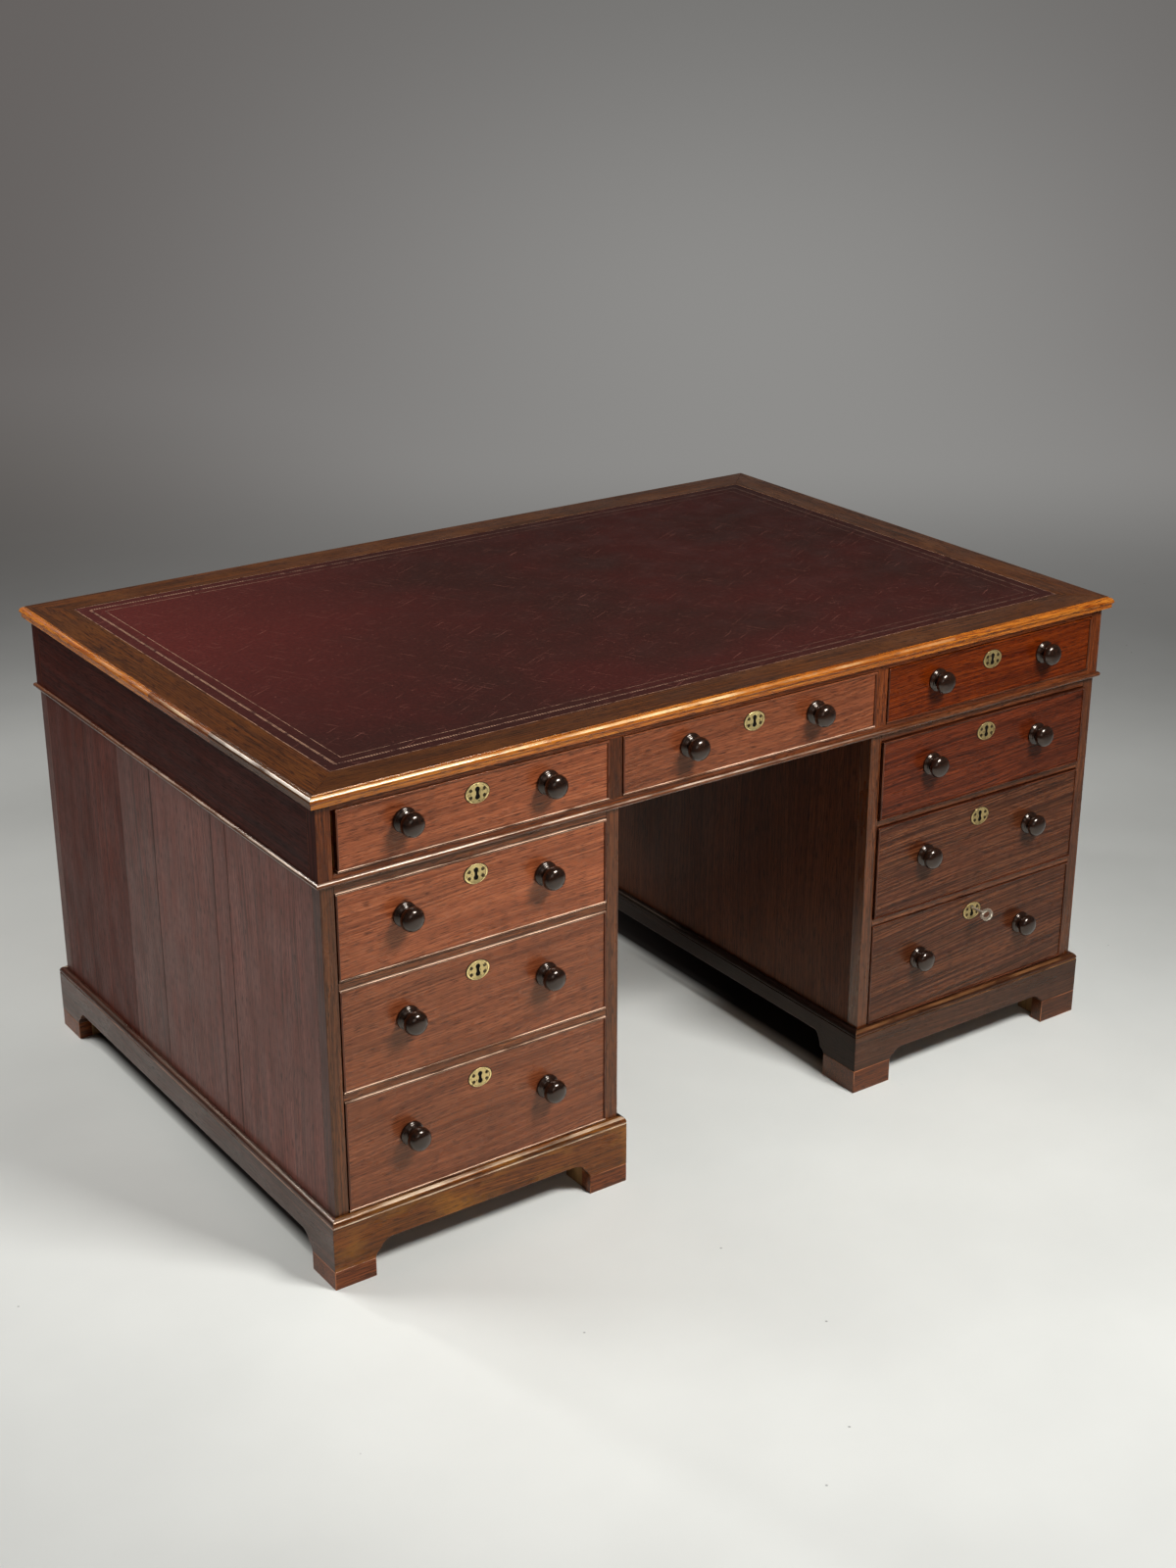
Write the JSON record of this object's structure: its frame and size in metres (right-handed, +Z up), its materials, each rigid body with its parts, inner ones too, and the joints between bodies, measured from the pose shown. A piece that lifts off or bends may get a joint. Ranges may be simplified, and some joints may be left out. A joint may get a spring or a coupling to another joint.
{
  "type": "partners desk",
  "caption": "Antique pedestal partners desk with a leather-lined moulded top, frieze and pedestal drawers with turned knobs and locks, cupboards on the far side, and bracket-foot plinths",
  "frame": {"origin": "on the floor, under the middle of the top", "axes": "+X to the sitter's right along the front, -Y out of the front (drawer pedestals), +Z up"},
  "size_m": [1.523, 1.0529, 0.78],
  "materials": {
    "mahogany": "french polished mahogany, aged, semi-gloss",
    "mahogany_front": "figured mahogany drawer fronts, french polished",
    "secondary_wood": "plain planed softwood, unpolished",
    "leather": "dark red hide, gilt and blind tooled, worn",
    "knob": "turned hardwood, dark polish, gloss",
    "brass": "aged dull brass",
    "key": "worn steel"
  },
  "bodies": {
    "desk": {"top_panel": "mahogany", "top_border": "mahogany", "top_leather": "leather", "frieze_frame": "mahogany", "frieze_bead": "mahogany", "frieze_partitions": "secondary_wood", "left_carcass": "mahogany", "right_carcass": "mahogany", "left_face_frame": "mahogany", "right_face_frame": "mahogany", "drawer_runners": "secondary_wood", "left_plinth": "mahogany", "right_plinth": "mahogany", "foot_pads": "mahogany", "door_frame_hinges": "brass"},
    "front_frieze_left_drawer": {"front_frieze_left_drawer": "mahogany_front", "front_frieze_left_knobs": "knob", "front_frieze_left_lock": "brass"},
    "front_frieze_centre_drawer": {"front_frieze_centre_drawer": "mahogany_front", "front_frieze_centre_knobs": "knob", "front_frieze_centre_lock": "brass"},
    "front_frieze_right_drawer": {"front_frieze_right_drawer": "mahogany_front", "front_frieze_right_knobs": "knob", "front_frieze_right_lock": "brass"},
    "back_frieze_left_drawer": {"back_frieze_left_drawer": "mahogany_front", "back_frieze_left_knobs": "knob", "back_frieze_left_lock": "brass"},
    "back_frieze_centre_drawer": {"back_frieze_centre_drawer": "mahogany_front", "back_frieze_centre_knobs": "knob", "back_frieze_centre_lock": "brass"},
    "back_frieze_right_drawer": {"back_frieze_right_drawer": "mahogany_front", "back_frieze_right_knobs": "knob", "back_frieze_right_lock": "brass"},
    "left_pedestal_bottom_drawer": {"left_pedestal_bottom_drawer": "mahogany_front", "left_pedestal_bottom_knobs": "knob", "left_pedestal_bottom_lock": "brass"},
    "left_pedestal_middle_drawer": {"left_pedestal_middle_drawer": "mahogany_front", "left_pedestal_middle_knobs": "knob", "left_pedestal_middle_lock": "brass"},
    "left_pedestal_top_drawer": {"left_pedestal_top_drawer": "mahogany_front", "left_pedestal_top_knobs": "knob", "left_pedestal_top_lock": "brass"},
    "right_pedestal_bottom_drawer": {"right_pedestal_bottom_drawer": "mahogany_front", "right_pedestal_bottom_knobs": "knob", "right_pedestal_bottom_lock": "brass"},
    "right_pedestal_middle_drawer": {"right_pedestal_middle_drawer": "mahogany_front", "right_pedestal_middle_knobs": "knob", "right_pedestal_middle_lock": "brass"},
    "right_pedestal_top_drawer": {"right_pedestal_top_drawer": "mahogany_front", "right_pedestal_top_knobs": "knob", "right_pedestal_top_lock": "brass"},
    "left_door": {"left_door": "mahogany", "left_door_lock": "brass", "left_door_hinge_leaves": "brass"},
    "right_door": {"right_door": "mahogany", "right_door_lock": "brass", "right_door_hinge_leaves": "brass"},
    "key": {"key": "key"},
    "lock_bolt": {"lock_bolt": "brass"}
  },
  "joints": [
    {"name": "front_frieze_left_slide", "type": "slide", "parent": "desk", "child": "front_frieze_left_drawer", "axis": [0, -1, 0], "range_m": [0, 0.35]},
    {"name": "front_frieze_centre_slide", "type": "slide", "parent": "desk", "child": "front_frieze_centre_drawer", "axis": [0, -1, 0], "range_m": [0, 0.35]},
    {"name": "front_frieze_right_slide", "type": "slide", "parent": "desk", "child": "front_frieze_right_drawer", "axis": [0, -1, 0], "range_m": [0, 0.35]},
    {"name": "back_frieze_left_slide", "type": "slide", "parent": "desk", "child": "back_frieze_left_drawer", "axis": [0, 1, 0], "range_m": [0, 0.35]},
    {"name": "back_frieze_centre_slide", "type": "slide", "parent": "desk", "child": "back_frieze_centre_drawer", "axis": [0, 1, 0], "range_m": [0, 0.35]},
    {"name": "back_frieze_right_slide", "type": "slide", "parent": "desk", "child": "back_frieze_right_drawer", "axis": [0, 1, 0], "range_m": [0, 0.35]},
    {"name": "left_pedestal_bottom_slide", "type": "slide", "parent": "desk", "child": "left_pedestal_bottom_drawer", "axis": [0, -1, 0], "range_m": [0, 0.35]},
    {"name": "left_pedestal_middle_slide", "type": "slide", "parent": "desk", "child": "left_pedestal_middle_drawer", "axis": [0, -1, 0], "range_m": [0, 0.35]},
    {"name": "left_pedestal_top_slide", "type": "slide", "parent": "desk", "child": "left_pedestal_top_drawer", "axis": [0, -1, 0], "range_m": [0, 0.35]},
    {"name": "right_pedestal_bottom_slide", "type": "slide", "parent": "desk", "child": "right_pedestal_bottom_drawer", "axis": [0, -1, 0], "range_m": [0, 0.35]},
    {"name": "right_pedestal_middle_slide", "type": "slide", "parent": "desk", "child": "right_pedestal_middle_drawer", "axis": [0, -1, 0], "range_m": [-0.003, 0.35]},
    {"name": "right_pedestal_top_slide", "type": "slide", "parent": "desk", "child": "right_pedestal_top_drawer", "axis": [0, -1, 0], "range_m": [-0.004, 0.35]},
    {"name": "left_door_hinge", "type": "hinge", "parent": "desk", "child": "left_door", "pos_m": [-0.7209, 0.4879, 0.37], "axis": [0, 0, 1], "range_deg": [0, 110]},
    {"name": "right_door_hinge", "type": "hinge", "parent": "desk", "child": "right_door", "pos_m": [0.7209, 0.4879, 0.37], "axis": [0, 0, -1], "range_deg": [0, 110]},
    {"name": "key_turn", "type": "hinge", "parent": "right_pedestal_bottom_drawer", "child": "key", "pos_m": [0.495, -0.484, 0.2718], "axis": [0, 1, 0], "range_deg": [-45, 135]},
    {"name": "lock_bolt_throw", "type": "slide", "parent": "right_pedestal_bottom_drawer", "child": "lock_bolt", "axis": [0, 0, 1], "range_m": [-0.0019, 0.0057]}
  ],
  "couplings": [
    {"joint": "lock_bolt_throw", "follows": "key_turn", "m_per_rad": 0.0024}
  ]
}
